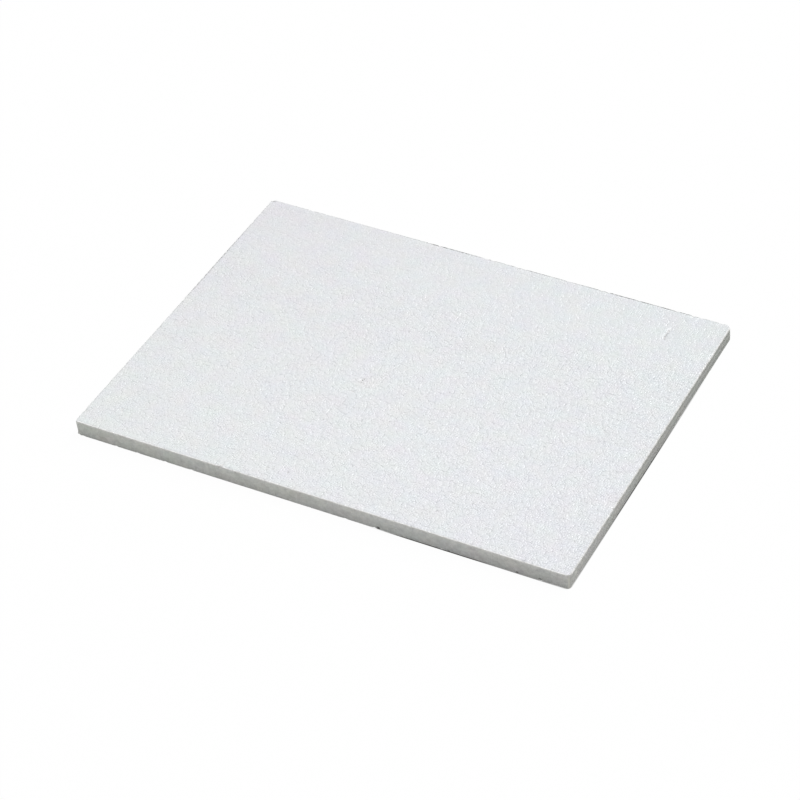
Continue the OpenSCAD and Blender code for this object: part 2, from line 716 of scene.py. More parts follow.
@dataclass
class BeadMesh:
    """The mesh of the bead skin while it is being gathered."""

    points: list[Vector] = field(default_factory=list)
    rise: list[float] = field(default_factory=list)
    crown: list[float] = field(default_factory=list)
    bead: list[int] = field(default_factory=list)
    faces: list[list[int]] = field(default_factory=list)

    def point(self, place: Vector, rise: float, crown: float = 0.0, bead: int = -1) -> int:
        """Add one point.

        Args:
            place: Where it is on the sound skin.
            rise: 0 in a groove, 1 on a bead and -1 at the bottom of a gap.
            crown: 1 at the middle of a bead.
            bead: The number of its bead, or -1 in a groove.

        Returns:
            The number of the point.
        """
        self.points.append(place)
        self.rise.append(rise)
        self.crown.append(crown)
        self.bead.append(bead)
        return len(self.points) - 1


@dataclass
class Division:
    """Divides the skin among the beads: each point of it belongs to the nearest centre.

    The shoulder is the width of the slope from a groove up to its bead. The reaches and the window
    bound the search for what a bead owns. A sliver below least_area gets no face of its own, a
    patch above crown_area gets a crown, and points nearer than join become one.
    """

    skin: Skin
    sites: list[Site]
    shoulder: float = 0.4 * MM
    reach: float = 7.0 * MM
    neighbour_reach: float = 12.0 * MM
    window: float = 6.0 * MM
    window_margin: float = 4.0 * MM
    least_area: float = 0.0001 * MM * MM
    crown_area: float = 3.0 * MM * MM
    join: float = 0.06 * MM

    def build(self) -> bpy.types.Mesh:
        """Make the mesh of the divided skin.

        Returns:
            A closed mesh on the sound slab, with the attributes rise, crown and bead.
        """
        self._tree = KDTree(len(self.sites))
        for number, site in enumerate(self.sites):
            self._tree.insert(site.centre, number)
        self._tree.balance()
        self._bisectors: dict[int, list[Plane]] = {}
        shares: Shares = {}
        for facet in self.skin.large:
            self._share_large(facet, shares)
        for facet in self.skin.small:
            self._share_small(facet, shares)
        gathered = BeadMesh()
        for number, parts in sorted(shares.items()):
            self._lay_bead(number, parts, gathered)
        return self._joined(gathered)

    def _share_large(self, facet: Facet, shares: Shares) -> None:
        """Cut a large facet among the beads beside it.

        Args:
            facet: The facet.
            shares: What each bead owns, which is added to.
        """
        xs = [x for x, _, _ in facet.outline]
        ys = [y for _, y, _ in facet.outline]
        safe = self.window + self.window_margin
        low_x, high_x, low_y, high_y = min(xs) + safe, max(xs) - safe, min(ys) + safe, max(ys) - safe
        for number, site in enumerate(self.sites):
            if abs((site.centre - facet.origin).dot(facet.normal)) > self.reach:
                continue
            x, y = facet.flat(site.centre)
            w = self.window
            if low_x < x < high_x and low_y < y < high_y:
                cell = [(x - w, y - w, -1), (x + w, y - w, -2), (x + w, y + w, -3), (x - w, y + w, -4)]
            elif min(xs) - w < x < max(xs) + w and min(ys) - w < y < max(ys) + w:
                cell = facet.outline
            else:
                continue
            self._share(facet, number, cell, shares)

    def _share_small(self, facet: Facet, shares: Shares) -> None:
        """Cut a small facet among the few beads that can own a part of it.

        Args:
            facet: The facet.
            shares: What each bead owns, which is added to.
        """
        nearest = self._tree.find(facet.centre)[2]
        for _, number, _ in self._tree.find_range(facet.centre, nearest + 2 * facet.reach):
            self._share(facet, number, facet.outline, shares)

    def _share(self, facet: Facet, number: int, cell: Cell, shares: Shares) -> None:
        """Cut one bead's share out of a cell of a facet, and note it if anything is left.

        Args:
            facet: The facet.
            number: The number of the bead.
            cell: The cell.
            shares: What each bead owns, which is added to.
        """
        centre = self.sites[number].centre
        foot_x, foot_y = facet.flat(centre)
        height = (centre - facet.origin).dot(facet.normal)
        farthest = math.inf
        for plane in self._planes(number):
            if plane.distance / 2 > farthest:
                break
            cut_cell = self._cut(facet, cell, plane)
            if not cut_cell:
                return
            if cut_cell is not cell:
                cell = cut_cell
                flat_reach = max((x - foot_x) ** 2 + (y - foot_y) ** 2 for x, y, _ in cell)
                farthest = math.sqrt(flat_reach + height * height)
        if len(cell) > 2:
            shares.setdefault(number, []).append((facet, cell))

    @staticmethod
    def _cut(facet: Facet, cell: Cell, plane: Plane, back: float = 0.0) -> Cell:
        """Keep the part of a cell on the bead's own side of a plane.

        Args:
            facet: The facet that the cell lies in.
            cell: The cell.
            plane: The plane.
            back: How far the plane is moved back towards the bead first.

        Returns:
            The cell that is left, which is the same list if nothing was cut.
        """
        limit = plane.middle - back - plane.normal.dot(facet.origin)
        a = plane.normal.dot(facet.along)
        b = plane.normal.dot(facet.across)
        return cut(cell, a, b, limit, plane.neighbour)

    def _planes(self, number: int) -> list[Plane]:
        """Find the planes half way to the neighbours of a bead.

        Args:
            number: The number of the bead.

        Returns:
            The planes, nearest first.
        """
        if number not in self._bisectors:
            centre = self.sites[number].centre
            planes = []
            for place, other, distance in self._tree.find_range(centre, self.neighbour_reach):
                if other != number:
                    normal = (place - centre) / distance
                    planes.append(Plane(distance, other, normal, normal.dot((place + centre) / 2)))
            self._bisectors[number] = sorted(planes, key=lambda plane: plane.distance)
        return self._bisectors[number]

    def _lay_bead(self, number: int, parts: list[tuple[Facet, Cell]], gathered: BeadMesh) -> None:
        """Lay the faces of one bead: a sloping ring round its share and a patch inside the ring.

        Args:
            number: The number of the bead.
            parts: The cells that it owns, each with its facet.
            gathered: The mesh to add to.
        """
        walls = {label for _, cell in parts for _, _, label in cell if label >= 0}
        planes = [plane for plane in self._planes(number) if plane.neighbour in walls]
        is_gap = self.sites[number].kind is Kind.GAP
        for facet, cell in parts:
            outer = [self._rim_point(facet.lift(x, y), planes, is_gap, gathered) for x, y, _ in cell]
            if is_gap:
                self._fan(facet, cell, outer, -1.0, 0.0, number, gathered)
                continue
            patch = cell
            for plane in planes:
                patch = self._cut(facet, patch, plane, self.shoulder)
            if len(patch) < 3:
                gathered.faces.append(outer)
                continue
            inner = [gathered.point(facet.lift(x, y), 1.0, 0.0, number) for x, y, _ in patch]
            self._ring(cell, outer, patch, inner, gathered)
            if area(patch) > self.crown_area:
                self._fan(facet, patch, inner, 1.0, 1.0, number, gathered)
            else:
                gathered.faces.append(inner)

    def _rim_point(self, place: Vector, planes: list[Plane], is_gap: bool, gathered: BeadMesh) -> int:
        """Add a point on the edge of a share, as high as its distance from the nearest groove allows.

        Args:
            place: Where it is on the sound skin.
            planes: The planes towards the bead's neighbours.
            is_gap: Whether the share is an open gap.
            gathered: The mesh to add to.

        Returns:
            The number of the point.
        """
        if is_gap:
            return gathered.point(place, 0.0)
        clear = min(plane.middle - plane.normal.dot(place) for plane in planes)
        return gathered.point(place, min(max(clear / self.shoulder, 0.0), 1.0))

    @staticmethod
    def _fan(
        facet: Facet, cell: Cell, rim: list[int], rise: float, crown: float, number: int, gathered: BeadMesh
    ) -> None:
        """Lay a cell as a fan about its middle, which is the crown of a bead or the pit of a gap.

        Args:
            facet: The facet that the cell lies in.
            cell: The cell.
            rim: The points at its corners.
            rise: The rise at its middle.
            crown: The crown at its middle.
            number: The number of the bead.
            gathered: The mesh to add to.
        """
        middle_x = sum(x for x, _, _ in cell) / len(cell)
        middle_y = sum(y for _, y, _ in cell) / len(cell)
        hub = gathered.point(facet.lift(middle_x, middle_y), rise, crown, number)
        for here, there in zip(rim, rim[1:] + rim[:1]):
            gathered.faces.append([here, there, hub])

    def _ring(self, cell: Cell, outer: list[int], patch: Cell, inner: list[int], gathered: BeadMesh) -> None:
        """Lay the faces between the edge of a share and the patch inside it.

        Both outlines are walked together by the labels of their edges. A point of the share that
        lies in line with the patch's edge joins the face before or after it.

        Args:
            cell: The share.
            outer: The points at its corners.
            patch: The patch inside it.
            inner: The points at the corners of the patch.
            gathered: The mesh to add to.
        """
        out_labels = [label for _, _, label in cell]
        in_labels = [label for _, _, label in patch]
        shared = [label for label in out_labels if label in in_labels]
        start_out = out_labels.index(shared[0]) if shared else 0
        start_in = in_labels.index(shared[0]) if shared else 0
        base = self._heading(cell, start_out)
        first_face = len(gathered.faces)
        is_after_face = False
        waiting: list[int] = []
        done_out = done_in = 0
        while done_out < len(cell) or done_in < len(patch):
            o = (start_out + done_out) % len(cell)
            i = (start_in + done_in) % len(patch)
            next_o = (o + 1) % len(cell)
            next_i = (i + 1) % len(patch)
            out_left = done_out < len(cell)
            in_left = done_in < len(patch)
            if out_left and in_left and out_labels[o] == in_labels[i]:
                is_after_face = out_labels[o] >= 0
                if is_after_face:
                    gathered.faces.append([outer[o], outer[next_o], inner[next_i], inner[i], *waiting])
                    waiting = []
                done_out += 1
                done_in += 1
                continue
            out_first = in_labels[i] in out_labels or (
                (self._heading(cell, o) - base) % math.tau < (self._heading(patch, i) - base) % math.tau
            )
            if out_left and (not in_left or (out_labels[o] not in in_labels and out_first)):
                if area([cell[o], cell[next_o], patch[i]]) > self.least_area:
                    gathered.faces.append([outer[o], outer[next_o], inner[i], *waiting])
                    waiting = []
                    is_after_face = True
                elif is_after_face:
                    face = gathered.faces[-1]
                    face.insert(face.index(outer[o]) + 1, outer[next_o])
                else:
                    waiting.append(outer[o])
                done_out += 1
            else:
                gathered.faces.append([outer[o], inner[next_i], inner[i], *waiting])
                waiting = []
                is_after_face = True
                done_in += 1
        if waiting:
            gathered.faces[first_face].extend(waiting)

    @staticmethod
    def _heading(cell: Cell, number: int) -> float:
        """Measure the direction of one edge of a cell.

        Args:
            cell: The cell.
            number: The number of the edge.

        Returns:
            The angle of the edge, in radians.
        """
        x, y, _ = cell[number]
        next_x, next_y, _ = cell[(number + 1) % len(cell)]
        return math.atan2(next_y - y, next_x - x)

    def _joined(self, gathered: BeadMesh) -> bpy.types.Mesh:
        """Join the points of neighbouring facets and beads into one closed mesh.

        Args:
            gathered: The loose faces of all beads.

        Returns:
            The mesh, with the attributes rise, crown and bead.
        """
        mesh = bpy.data.meshes.new("bead_skin")
        mesh.from_pydata([tuple(point) for point in gathered.points], [], gathered.faces)
        for name, kind, values in (
            ("rise", "FLOAT", gathered.rise),
            ("crown", "FLOAT", gathered.crown),
            ("bead", "INT", gathered.bead),
        ):
            mesh.attributes.new(name, kind, "POINT").data.foreach_set("value", values)
        work = bmesh.new()
        work.from_mesh(mesh)
        bmesh.ops.remove_doubles(work, verts=work.verts, dist=self.join)
        loose = [vertex for vertex in work.verts if not vertex.link_faces]
        bmesh.ops.delete(work, geom=loose, context="VERTS")
        open_edges = sum(1 for edge in work.edges if len(edge.link_faces) != 2)
        triangles = sum(len(face.verts) - 2 for face in work.faces)
        work.to_mesh(mesh)
        work.free()
        LOG.info("bead skin: %d triangles, %d open edges", triangles, open_edges)
        return mesh


# ---------------------------------------------------------------------------------------------
# The relief of the beads
# ---------------------------------------------------------------------------------------------


@dataclass(frozen=True)
class Relief:
    """How far the grooves sink and the beads rise.

    In some patches the beads are closed up, which leaves closed_share of the grooves' depth. The
    probe is how far outside the skin the search for the solid starts.
    """

    groove_depth: float = 0.09 * MM
    crown_height: float = 0.04 * MM
    least_crown: float = 0.3
    level_spread: float = 0.025 * MM
    wall_share: float = 0.5
    patch_size: float = 7.0 * MM
    patch_edge: tuple[float, float] = (0.35, 0.65)
    closed_share: float = 0.25
    probe: float = 1.2 * MM
    probe_reach: float = 3.6 * MM
    seed: int = 5

    def tree(self, kinds: dict[str, str]) -> tuple[bpy.types.NodeTree, dict[str, str]]:
        """Build the node tree that seats the skin on the solid and raises its beads.

        Args:
            kinds: The kind of each named input besides the skin.

        Returns:
            The tree, and the identifier of each of its named inputs.
        """
        tree = bpy.data.node_groups.new("bead_relief", "GeometryNodeTree")
        nodes = Nodes(tree)
        names = {}
        for name, kind in {"Skin": "Geometry", **kinds}.items():
            socket = tree.interface.new_socket(name=name, in_out="INPUT", socket_type="NodeSocket" + kind)
            names[name] = socket.identifier
        tree.interface.new_socket(name="Slab", in_out="OUTPUT", socket_type="NodeSocketGeometry")
        inputs = nodes.add("NodeGroupInput")
        given = {name: nodes.value(inputs, identifier) for name, identifier in names.items()}
        position = nodes.value(nodes.add("GeometryNodeInputPosition"), "Position")
        outward = nodes.value(nodes.add("GeometryNodeInputNormal"), "Normal")
        seat = self._seat(nodes, given, position, outward)
        facing_up = abs(nodes.split(outward)[2])
        sunk = self._sunk(nodes, given, position, facing_up)
        raised = nodes.vector("ADD", seat, nodes.vector("SCALE", outward, scale=-sunk))
        shape = given["Skin"]
        for name, content in (
            ("tint", self._random(nodes, given["Seed"] + 2.0, 0.0, 1.0)),
            ("worn", nodes.measure("DISTANCE", seat, position)),
            ("wall", 1.0 - facing_up),
        ):
            shape = self._store(nodes, shape, name, content)
        for kind, settings in (
            ("GeometryNodeSetPosition", {"Position": raised}),
            ("GeometryNodeSetShadeSmooth", {}),
            ("GeometryNodeRealizeInstances", {}),
            ("GeometryNodeSetMaterial", {"Material": given["Finish"]}),
        ):
            shape = nodes.value(nodes.add(kind, None, {"Geometry": shape, **settings}), "Geometry")
        tree.links.new(shape.socket, nodes.add("NodeGroupOutput").inputs["Slab"])
        return tree, names

    def _sunk(self, nodes: Nodes, given: dict[str, Value], position: Value, facing_up: Value) -> Value:
        """Work out how far each point sinks into the slab.

        Args:
            nodes: The tree to add to.
            given: The named inputs of the tree.
            position: The point on the sound skin.
            facing_up: 1 in the large faces and 0 in the walls.

        Returns:
            The depth below the crown of the highest bead.
        """
        rise = nodes.math("MAXIMUM", self._attribute(nodes, "rise"), 0.0)
        crown = self._attribute(nodes, "crown")
        level = self._random(nodes, given["Seed"], 0.0, 1.0)
        swell = self._random(nodes, given["Seed"] + 1.0, self.least_crown, 1.0)
        share = given["Wall share"] + (1.0 - given["Wall share"]) * facing_up
        scale = 1.0 / given["Patch size"]
        noise = nodes.add("ShaderNodeTexNoise", None, {"Vector": position, "Scale": scale})
        patch = nodes.value(noise, "Fac").ramp(*self.patch_edge)
        closed = self.closed_share + (1.0 - self.closed_share) * patch
        sunk = (1.0 - rise) * closed * given["Groove depth"] + rise * level * given["Level spread"]
        return (sunk + (1.0 - crown * swell) * given["Crown height"]) * share

    def _seat(self, nodes: Nodes, given: dict[str, Value], position: Value, outward: Value) -> Value:
        """Find where each point of the sound skin meets the worn solid.

        Args:
            nodes: The tree to add to.
            given: The named inputs of the tree.
            position: The point on the sound skin.
            outward: The direction that the skin faces there.

        Returns:
            The point on the solid, or the point on the sound skin where there is none near.
        """
        settings = {"transform_space": "ORIGINAL"}
        info = nodes.add("GeometryNodeObjectInfo", settings, {"Object": given["Solid"]})
        outside = nodes.vector("ADD", position, nodes.vector("SCALE", outward, scale=given["Probe"]))
        ray = nodes.add(
            "GeometryNodeRaycast",
            None,
            {
                "Target Geometry": nodes.value(info, "Geometry"),
                "Source Position": outside,
                "Ray Direction": nodes.vector("SCALE", outward, scale=-1.0),
                "Ray Length": given["Probe reach"],
            },
        )
        pick = nodes.add(
            "GeometryNodeSwitch",
            {"input_type": "VECTOR"},
            {
                "Switch": nodes.value(ray, "Is Hit"),
                "False": position,
                "True": nodes.value(ray, "Hit Position"),
            },
        )
        return nodes.value(pick, "Output")

    @staticmethod
    def _attribute(nodes: Nodes, name: str, kind: str = "FLOAT") -> Value:
        """Read one attribute of the skin."""
        node = nodes.add("GeometryNodeInputNamedAttribute", {"data_type": kind}, {"Name": name})
        return nodes.value(node, "Attribute")

    def _random(self, nodes: Nodes, seed: Value, low: float, high: float) -> Value:
        """Draw one number for each bead.

        Args:
            nodes: The tree to add to.
            seed: The seed.
            low: The least number.
            high: The greatest number.

        Returns:
            The number, which all points of a bead share.
        """
        node = nodes.add(
            "FunctionNodeRandomValue",
            {"data_type": "FLOAT"},
            {"Min_001": low, "Max_001": high, "ID": self._attribute(nodes, "bead", "INT"), "Seed": seed},
        )
        return nodes.value(node, "Value_001")

    @staticmethod
    def _store(nodes: Nodes, geometry: Value, name: str, content: Value) -> Value:
        """Keep a number on each point for the finish.

        Args:
            nodes: The tree to add to.
            geometry: The skin.
            name: The name of the attribute.
            content: The number.

        Returns:
            The skin with the attribute.
        """
        node = nodes.add(
            "GeometryNodeStoreNamedAttribute",
            {"data_type": "FLOAT", "domain": "POINT"},
            {"Geometry": geometry, "Name": name, "Value": content},
        )
        return nodes.value(node, "Geometry")

    def apply(
        self, skin: bpy.types.Mesh, solid: bpy.types.Object, finish: bpy.types.Material, name: str
    ) -> bpy.types.Object:
        """Raise the beads of a divided skin and return the result as a plain mesh.

        Args:
            skin: The divided skin.
            solid: The part's own solid, which the skin is seated on.
            finish: The material.
            name: The name of the new piece.

        Returns:
            The finished piece.
        """
        contents = {
            "Solid": ("Object", solid),
            "Groove depth": ("Float", self.groove_depth),
            "Crown height": ("Float", self.crown_height),
            "Level spread": ("Float", self.level_spread),
            "Wall share": ("Float", self.wall_share),
            "Patch size": ("Float", self.patch_size),
            "Probe": ("Float", self.probe),
            "Probe reach": ("Float", self.probe_reach),
            "Seed": ("Int", self.seed),
            "Finish": ("Material", finish),
        }
        tree, names = self.tree({title: kind for title, (kind, _) in contents.items()})
        piece = bpy.data.objects.new(name, skin)
        bpy.context.scene.collection.objects.link(piece)
        modifier = piece.modifiers.new("bead_relief", "NODES")
        modifier.node_group = tree
        for title, (_, content) in contents.items():
            modifier[names[title]] = content
        depsgraph = bpy.context.evaluated_depsgraph_get()
        result = bpy.data.meshes.new_from_object(piece.evaluated_get(depsgraph))
        piece.modifiers.remove(modifier)
        piece.data = result
        result.name = name
        return piece


# ---------------------------------------------------------------------------------------------
# Finish
# ---------------------------------------------------------------------------------------------


@dataclass(frozen=True)
class Spot:
    """A round area that fades out towards its rim, such as a stretch of painted shade along an arris."""

    place: tuple[float, float, float]
    reach: float
    strength: float = 1.0
    core: float = 0.3

    @classmethod
    def mm(cls, x: float, y: float, z: float, reach: float, strength: float = 1.0) -> "Spot":
        """Return a spot whose place and reach are given in millimetres."""
        return cls((x * MM, y * MM, z * MM), reach * MM, strength)

    def mask(self, nodes: Nodes, place: Value) -> Value:
        """Return its strength at each point, which is 0 beyond its reach."""
        away = nodes.measure("DISTANCE", place, self.place)
        return self.strength * away.fade(self.core * self.reach, self.reach)


def spotted(nodes: Nodes, place: Value, spots: tuple[Spot, ...], base: float = 0.0) -> Value:
    """Return the strength of several spots together.

    Args:
        nodes: The tree to add to.
        place: The point on the surface.
        spots: The spots.
        base: The strength away from all of them.

    Returns:
        The sum of the strengths.
    """
    total: Value | float = base
    for spot in spots:
        total = spot.mask(nodes, place) + total
    return total


@dataclass(frozen=True)
class Surface:
    """What the finish depends on at each point of the skin.

    The rise is 0 in a groove and 1 on a bead, and wall is 1 in the walls. The inset is the distance
    to the nearest wall. Across and along run from -0.5 to 0.5 over the length and the width, and near
    is 1 on the half of the slab towards the front right corner.
    """

    place: Value
    rise: Value
    wall: Value
    inset: Value
    across: Value
    along: Value
    near: Value


@dataclass(frozen=True)
class FoamFinish:
    """The white moulded skin of bead foam, which light enters a little.

    A size that ends in edge holds the two ends of a smooth step. Painted shade dims the slab towards its
    ends, its long sides, its back and its foot, and in its grooves.
    """

    colour: Colour = (0.861, 0.879, 0.9, 1.0)
    # Painted shade at the bottoms of the open gaps: mid grey in all of them and near black in the shaded
    # pits.
    shallow_pit_shade_colour: Colour = (0.76, 0.76, 0.76, 1.0)
    pit_shade_colour: Colour = (0.3, 0.3, 0.31, 1.0)
    shaded_pits: tuple[Spot, ...] = (Spot.mm(-22.3, -18.5, 10, 10), Spot.mm(126.8, 100.8, 10, 14))
    pit_edge: tuple[float, float] = (-1.0, -0.1)
    # Painted highlight: the arrises towards the front right and their upright corner are made paler where
    # the light catches them.
    highlight_colour: Colour = (0.98, 0.98, 0.975, 1.0)
    fresh_colour: Colour = (0.94, 0.94, 0.935, 1.0)
    worn_edge: tuple[float, float] = (0.1 * MM, 0.35 * MM)
    # Painted shade along the back and left arrises, standing in for the block's shadow beyond them; the same
    # dark colour marks the shade specks.
    shade_colour: Colour = (0.15, 0.15, 0.148, 1.0)
    far_arris_shade: tuple[Spot, ...] = (
        Spot.mm(-32, 125, 10, 24, 0.6),
        Spot.mm(20, 125, 10, 100, 0.35),
        Spot.mm(105, 125, 10, 46, 0.65),
        Spot.mm(-160, 50, 10, 55, 0.4),
    )
    far_shade_everywhere: float = 0.1
    # Painted shade in small nicks and gaps: the chipped back left corner, nicks of the front upper arris and
    # the foot of the front and right walls.
    shade_specks: tuple[Spot, ...] = (
        Spot.mm(-158.6, 124.5, 10, 2.2, 0.65),
        Spot.mm(-62.6, -125, 9.3, 1.2, 0.28),
        Spot.mm(-51.5, -125, 9.3, 1.0, 0.22),
        Spot.mm(41, -125, 0.8, 1.8),
        Spot.mm(85.5, -125, 0.5, 1.3, 0.5),
        Spot.mm(128, -125, 0.5, 1.4, 0.8),
        Spot.mm(142, -125, 1.0, 1.4, 0.7),
        Spot.mm(160, -55.5, 0.5, 1.3, 0.6),
        Spot.mm(160, -4.5, 0.5, 1.3, 0.6),
    )
    # Painted shade on the walls, strongest towards the back right corner.
    wall_shade_spots: tuple[Spot, ...] = (Spot.mm(160, 110, 5, 280, 0.14),)
    roughness: float = 0.29
    wall_roughness: float = 0.85
    roughness_spread: float = 0.1
    wall_edge: tuple[float, float] = (0.3, 0.9)
    wrinkle_size: float = 1.36 * MM
    wrinkle_height: float = 0.385 * MM
    wrinkle_order: float = 0.65
    wrinkle_least: float = 0.65
    wrinkle_spread: float = 0.7
    wall_share: float = 0.5
    back_flatness: float = 0.42
    back_edge: tuple[float, float] = (0.18, 0.4)
    left_flatness: float = 0.16
    left_edge: tuple[float, float] = (0.1, 0.5)
    bend_size: float = 1.4 * MM
    bend_reach: float = 0.3 * MM
    groove_edge: tuple[float, float] = (0.0, 0.8)
    groove_share: float = 0.15
    # Painted shade in the grooves between beads.
    groove_shade: float = 0.045
    wall_groove_shade: float = 0.03
    lip_height: float = 0.45 * MM
    lip_edge: tuple[float, float] = (-0.45 * MM, 0.6 * MM)
    lip_wave: float = 2.6 * MM
    lip_wave_edge: tuple[float, float] = (0.3, 0.7)
    lip_spread: float = 1.2
    lip_spread_edge: tuple[float, float] = (-1.2 * MM, -0.2 * MM)
    mottle_size: float = 13.0 * MM
    mottle_strength: float = 0.07
    yellowing: float = 0.008
    greening: float = 0.045
    # Painted shade: darker towards the ends, the long sides and the back.
    end_shade: float = 0.1
    side_shade: float = 0.06
    back_shade: float = 0.057
    # Painted shade: the walls darken towards their foot.
    foot_shade: float = 0.12
    foot_height: float = 7.0 * MM
    grain_size: float = 2.8 * MM
    grain_strength: float = 0.38
    near_edge: tuple[float, float] = (-0.01, 0.01)
    arris_edge: tuple[float, float] = (0.4 * MM, 1.2 * MM)
    scuff_size: float = 1.6 * MM
    scuff_edge: tuple[float, float] = (0.4, 0.6)
    scuff_share: float = 0.25
    least_far_shade: float = 0.5
    corner_inset: float = 0.8 * MM
    corner_edge: tuple[float, float] = (0.25 * MM, 0.9 * MM)
    # Painted shade in a shallow gutter inside the near arrises.
    gutter_inset: float = 1.35 * MM
    gutter_edge: tuple[float, float] = (0.24 * MM, 0.8 * MM)
    gutter_shade: float = 0.05
    # Painted shade in bands along the right wall, below the upper arris and above the foot, stronger towards
    # the back.
    shade_lines: tuple[tuple[float, float], ...] = ((2.9 * MM, 0.13), (7.4 * MM, 0.11))
    shade_line_edge: tuple[float, float] = (0.18 * MM, 0.9 * MM)
    right_edge: tuple[float, float] = (-1.0 * MM, -0.5 * MM)
    entering_light: float = 0.4
    light_reach: float = 3.0 * MM

    def material(self, slab: Slab) -> bpy.types.Material:
        """Build the material.

        Args:
            slab: The slab that it covers.

        Returns:
            The material, which reads the attributes rise, tint, worn and wall.
        """
        material = bpy.data.materials.new("bead_foam_skin")
        nodes = empty_tree(material)
        tint = self._attribute(nodes, "tint")
        place = nodes.value(nodes.add("ShaderNodeTexCoord"), "Object")
        x, y, _ = nodes.split(place)
        across, along = x / slab.length, y / slab.width
        surface = Surface(
            place=place,
            rise=self._attribute(nodes, "rise"),
            wall=self._attribute(nodes, "wall").ramp(*self.wall_edge),
            inset=nodes.math("MINIMUM", slab.length / 2 - abs(x), slab.width / 2 - abs(y)),
            across=across,
            along=along,
            near=(across - along).ramp(*self.near_edge),
        )
        height = self._wrinkles(nodes, surface, tint) + self._lip(nodes, slab, surface)
        bump = nodes.add("ShaderNodeBump", None, {"Strength": 1.0, "Distance": 1.0, "Height": height})
        roughness = self.roughness + self.roughness_spread * (tint - 0.5)
        roughness = roughness + (self.wall_roughness - roughness) * surface.wall
        shader = nodes.add(
            "ShaderNodeBsdfPrincipled",
            None,
            {
                "Base Color": self._colours(nodes, slab, surface),
                "Roughness": roughness,
                "Normal": nodes.value(bump, "Normal"),
                "Specular IOR Level": 0.5,
                "Subsurface Weight": self.entering_light,
                "Subsurface Radius": (1.0, 1.0, 1.0),
                "Subsurface Scale": self.light_reach,
            },
        )
        nodes.add("ShaderNodeOutputMaterial", None, {"Surface": nodes.value(shader, "BSDF")})
        return material

    def _colours(self, nodes: Nodes, slab: Slab, surface: Surface) -> Value:
        """Build the colour: mottled white, with a painted highlight on the near arrises and painted shade on
        the far ones, in nicks and in the open gaps.

        Args:
            nodes: The tree to add to.
            slab: The slab.
            surface: What the colour depends on.

        Returns:
            The colour at each point.
        """
        place, near = surface.place, surface.near
        x, y, z = nodes.split(place)
        tone = self._tone(nodes, slab, surface)
        colour = nodes.vector("SCALE", self._mottled(nodes, surface), scale=tone)
        worn = self._attribute(nodes, "worn").ramp(*self.worn_edge)
        colour = nodes.blend(worn, colour, self.fresh_colour)
        arris = nodes.math("MAXIMUM", surface.inset, slab.thickness - z).fade(*self.arris_edge)
        # Painted highlight along the near arrises, broken up by the scuff noise, and along the upright
        # corner at the front right.
        corner = (slab.length / 2 - self.corner_inset, self.corner_inset - slab.width / 2, 0.0)
        upright = nodes.measure("DISTANCE", nodes.join(x, y, 0.0), corner).fade(*self.corner_edge)
        scuff = self._noise(nodes, place, self.scuff_size, 1.0).ramp(*self.scuff_edge)
        arris_highlight = (1.0 - self.scuff_share + self.scuff_share * scuff) * arris * near
        colour = nodes.blend(nodes.math("MAXIMUM", arris_highlight, upright), colour, self.highlight_colour)
        # Painted shade along the back and left arrises, standing in for the block's shadow beyond them.
        far_shade = spotted(nodes, place, self.far_arris_shade, self.far_shade_everywhere) * (self.least_far_shade + scuff)
        colour = nodes.blend(far_shade * arris * (1.0 - near), colour, self.shade_colour)
        # Painted shade in small nicks and gaps.
        colour = nodes.blend(spotted(nodes, place, self.shade_specks), colour, self.shade_colour)
        # Painted shade at the bottoms of the open gaps.
        pit = nodes.blend(spotted(nodes, place, self.shaded_pits), self.shallow_pit_shade_colour, self.pit_shade_colour)
        return nodes.blend(surface.rise.ramp(*self.pit_edge), pit, colour)

    def _mottled(self, nodes: Nodes, surface: Surface) -> Value:
        """Build the white of the skin, with soft blotches and a slow drift of its hue.

        Args:
            nodes: The tree to add to.
            surface: What the colour depends on.

        Returns:
            The colour at each point, as a vector.
        """
        across, along = surface.across, surface.along
        noise = self._noise(nodes, surface.place, self.mottle_size, 2.0, "Color")
        blotch = nodes.vector("SUBTRACT", noise, NOISE_MIDDLE)
        blotch = nodes.vector("SCALE", blotch, scale=self.mottle_strength)
        drift = nodes.join(-self.yellowing * across, self.greening * across * along, self.yellowing * across)
        return nodes.vector("ADD", nodes.vector("ADD", self.colour[:3], blotch), drift)

    def _tone(self, nodes: Nodes, slab: Slab, surface: Surface) -> Value:
        """Work out how far painted shade dims the white: towards the ends, the sides, the back and the foot,
        on the walls, in bands on the right wall, in the grooves and in a gutter inside the near arrises,
        with a grain on the walls.

        Args:
            nodes: The tree to add to.
            slab: The slab.
            surface: What the tone depends on.

        Returns:
            The factor of the colour at each point.
        """
        across, along, wall = surface.across, surface.along, surface.wall
        x, _, z = nodes.split(surface.place)
        # Painted shade: darker towards the back, the ends and the long sides.
        tone = 1.0 - self.back_shade * along
        tone = tone - self.end_shade * across * across - self.side_shade * along * along
        # Painted shade on the walls: darker towards the back right corner and towards the foot, and in bands
        # on the right wall.
        wall_shade = spotted(nodes, surface.place, self.wall_shade_spots) + self.foot_shade * z.fade(0.0, self.foot_height)
        right = x.ramp(*(slab.length / 2 + edge for edge in self.right_edge)) * (1.0 + along)
        # Painted shade in bands along the right wall.
        for line_height, line_strength in self.shade_lines:
            wall_shade = wall_shade + line_strength * abs(z - line_height).fade(*self.shade_line_edge) * right
        # Painted shade in the grooves between beads.
        groove = surface.rise.fade(*self.groove_edge)
        tone = tone * (1.0 - self.groove_shade * groove)
        tone = tone * (1.0 - (wall_shade + self.wall_groove_shade * groove) * wall)
        # Painted shade in a shallow gutter inside the near arrises.
        gutter_shade_mask = abs(surface.inset - self.gutter_inset).fade(*self.gutter_edge)
        tone = tone * (1.0 - self.gutter_shade * gutter_shade_mask * surface.near * (1.0 - wall))
        grain = self._noise(nodes, surface.place, self.grain_size, 1.0) - 0.5
        return (1.0 + grain * self.grain_strength * wall) * tone

